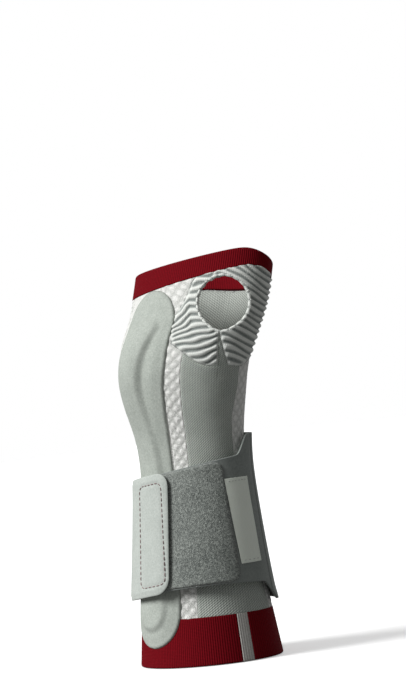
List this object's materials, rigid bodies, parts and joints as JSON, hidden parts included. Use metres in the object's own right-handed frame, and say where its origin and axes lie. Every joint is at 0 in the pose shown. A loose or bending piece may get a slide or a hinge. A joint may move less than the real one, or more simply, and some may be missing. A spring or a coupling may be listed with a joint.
{
  "type": "wrist splint",
  "caption": "Knitted wrist brace with a thumb hole, a stiff stay in a raised palm pocket and a hook-and-loop forearm strap.",
  "frame": {"origin": "the middle of the whole part's outline, at the level of the forearm cuff's rim that it stands on", "axes": "+Z from the forearm to the fingers, -Y the palm side, +X the thumb side of a right hand"},
  "size_m": [0.0889, 0.0761, 0.2032],
  "materials": {
    "grey_jersey": "fine warp-knit jersey, matt",
    "white_honeycomb": "open honeycomb knit, matt",
    "ribbed_knit": "thick ribbed knit, matt",
    "maroon_knit": "dense flat knit, matt",
    "stripe_knit": "dense flat knit, matt",
    "pocket_microfibre": "brushed microfibre, matt",
    "backing_foam": "soft spacer padding",
    "stay_aluminium": "satin",
    "strap_laminate": "smooth laminated jersey, matt",
    "loop_velour": "heather loop pile",
    "label_satin": "woven satin",
    "label_thread": "spun thread",
    "tab_laminate": "smooth laminated jersey, matt",
    "hook_plastic": "moulded micro-hooks",
    "pink_thread": "spun thread",
    "grey_thread": "spun thread"
  },
  "bodies": {
    "sleeve": {"palmar_knit_panel": "grey_jersey", "palmar_radial_honeycomb": "white_honeycomb", "radial_knit_panel": "grey_jersey", "dorsal_radial_honeycomb": "white_honeycomb", "dorsal_knit_panel": "grey_jersey", "dorsal_ulnar_honeycomb": "white_honeycomb", "ulnar_knit_panel": "grey_jersey", "palmar_ulnar_honeycomb": "white_honeycomb", "thumb_gusset": "ribbed_knit", "thumb_welt": "ribbed_knit", "palm_cuff": "maroon_knit", "forearm_cuff": "maroon_knit", "cuff_stripe": "stripe_knit", "stay_pocket_cover": "pocket_microfibre", "stay_backing_pad": "backing_foam", "palmar_stay": "stay_aluminium", "strap_base": "strap_laminate", "strap_anchor_stitching": "grey_thread"},
    "wing": {"loop_wing_band": "strap_laminate", "loop_field": "loop_velour", "blank_label": "label_satin", "label_stitching": "label_thread"},
    "tab": {"tab_panel": "tab_laminate", "hook_patch": "hook_plastic", "tab_box_stitching": "pink_thread"}
  },
  "joints": [
    {"name": "tab_open", "type": "hinge", "parent": "sleeve", "child": "tab", "pos_m": [-0.04252, -0.00073, 0.036], "axis": [-0.083, -0.007, -0.9965], "range_deg": [0, 120]},
    {"name": "wing_open", "type": "hinge", "parent": "sleeve", "child": "wing", "pos_m": [0.02997, 0.00915, 0.036], "axis": [-0.0403, -0.0243, 0.9989], "range_deg": [0, 36]}
  ],
  "couplings": [
    {"joint": "wing_open", "follows": "tab_open", "ratio": 0.3}
  ]
}
